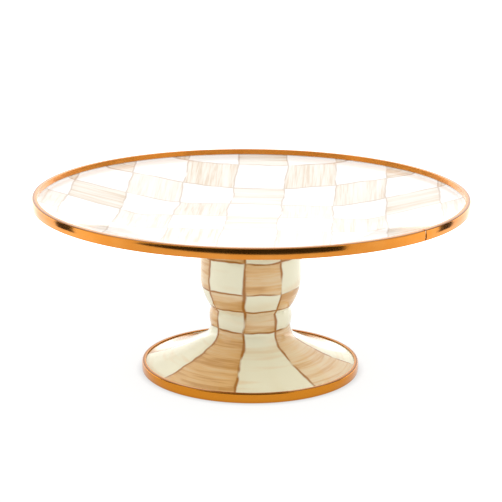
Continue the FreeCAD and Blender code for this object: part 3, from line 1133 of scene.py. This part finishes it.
def floor_material():
    """A pale floor that glows a little, less in the shade under the foot and more at the sides
    and behind, under the lamps."""
    matt = {"Roughness": 0.9, "Specular_IOR_Level": 0.0, "Emission_Strength": 1.0}
    material, surface, recipe = new_material("floor", Base_Color=FLOOR_GREY, **matt)
    x, y, z = split(recipe.node("ShaderNodeTexCoord", output="Object"))
    distance = (x * x + y * y).math("SQRT")
    behind = y / distance
    open_floor = distance.ramp(SHADE_RADIUS, OPEN_RADIUS)
    lit = distance.ramp(LAMPS_FROM, LAMPS_FULL)
    lamps = lit * behind.ramp(-0.8, 0.1)
    rear_lamp = lit * behind.ramp(0.6, 0.95)
    glow = SHADE_GLOW + (FLOOR_GLOW - SHADE_GLOW) * open_floor
    glow = glow + (LAMP_GLOW - FLOOR_GLOW) * lamps + REAR_LAMP_GLOW * rear_lamp
    feed(surface, Emission_Color=join(glow, glow, glow))
    return material


half = FLOOR_SIZE / 2
floor_corners = [(-half, -half), (half, -half), (half, half), (-half, half)]
flat_card("floor", [(x, y, -FLOOR_DROP) for x, y in floor_corners], floor_material())
print("floor:", FLOOR_SIZE, "metres square")

# %% [markdown]
# ## Dark cards
#
# Polished metal in an all-white room looks flat. A studio stands black cards where the metal
# should show dark, and so does this one: one in front and a narrow one at each side, each of
# which is a dark patch in the strips. The cards are seen only in reflections, and leave the
# shadows and the soft light alone.

# %% Dark cards
CARD_BLACK = (0.02, 0.02, 0.02, 1)
CARD_GLOW = 0.01
HEM_GLOW = 0.3
HEM_HEIGHT = 0.03
SIDE_CARD = {"low": 0.038, "high": 0.35}


def card_material():
    """Nearly black cloth, with some light from the floor on its lower edge."""
    matt = {"Roughness": 1.0, "Specular_IOR_Level": 0.0, "Emission_Strength": 1.0}
    material, surface, recipe = new_material("black_card", Base_Color=CARD_BLACK, **matt)
    x, y, z = split(recipe.node("ShaderNodeTexCoord", output="Object"))
    glow = CARD_GLOW + HEM_GLOW * z.ramp(HEM_HEIGHT, 0.0)
    feed(surface, Emission_Color=join(glow, glow, glow))
    return material


card_cloth = card_material()


def dark_card(name, left, right, low, high):
    """An upright card between two heights. left and right are its ends: degrees from the front
    towards +X, and metres from the stand's axis."""
    feet = []
    for degrees, distance in (left, right):
        angle = math.radians(degrees)
        feet.append((math.sin(angle) * distance, -math.cos(angle) * distance))
    (x, y), (x_end, y_end) = feet
    corners = [(x, y, low), (x_end, y_end, low), (x_end, y_end, high), (x, y, high)]
    card = flat_card(name, corners, card_cloth)
    card.visible_camera = False
    card.visible_diffuse = False
    card.visible_shadow = False


dark_card("card_front", (-56, 1.7), (42, 0.62), low=0, high=0.9)
dark_card("card_left", (-100, 0.42), (-85, 0.42), **SIDE_CARD)
dark_card("card_right", (93, 0.42), (106, 0.42), **SIDE_CARD)
print("cards: one in front and two at the sides")

# %% [markdown]
# ## Light from all round
#
# The dish is seen so flat that its enamel mirrors a narrow band low behind the stand. The world is
# therefore brightest there, which washes over the dish, with a slightly darker ring just above.
# The bands are functions of elevation. The camera itself sees one even white.

# %% World
REAR_GLOW = 1.1
LOWEST_GLOW = 1.3
LOW_GLOW = 0.5
MIDDLE_GLOW = 0.4
UPPER_GLOW = 0.3
FRONT_GLOW = 0.9
FRONT_UPPER_GLOW = 0.5
BACKDROP_GLOW = 1.1


def build_world():
    """Light from all round, in bands of elevation in degrees behind the stand, and an even
    backdrop for the camera."""
    world = bpy.data.worlds.new("studio")
    world.use_nodes = True
    world.node_tree.nodes.clear()
    sky = Wire(world.node_tree)
    x, y, z = split(sky.node("ShaderNodeTexCoord", output="Generated"))
    elevation = z.math("ARCSINE") * math.degrees(1)
    behind = y.ramp(-0.1, 0.3)
    lowest = elevation.ramp(9.0, 7.0)
    low = elevation.ramp(15.6, 14.8)
    middle = elevation.ramp(16.9, 17.3) - elevation.ramp(18.2, 20.0)
    upper = elevation.ramp(24.0, 34.0)
    rear = REAR_GLOW + LOW_GLOW * low + MIDDLE_GLOW * middle + UPPER_GLOW * upper
    rear = rear + LOWEST_GLOW * lowest
    front = FRONT_GLOW + FRONT_UPPER_GLOW * upper
    strength = front + (rear - front) * behind
    seen = sky.node("ShaderNodeLightPath", output="Is Camera Ray")
    strength = strength + (BACKDROP_GLOW - strength) * seen
    glow = sky.node("ShaderNodeBackground", {}, {"Color": (1, 1, 1, 1), "Strength": strength})
    sky.node("ShaderNodeOutputWorld", {}, {"Surface": glow})
    return world


bpy.context.scene.world = build_world()
print("world:", len(bpy.context.scene.world.node_tree.nodes), "nodes")
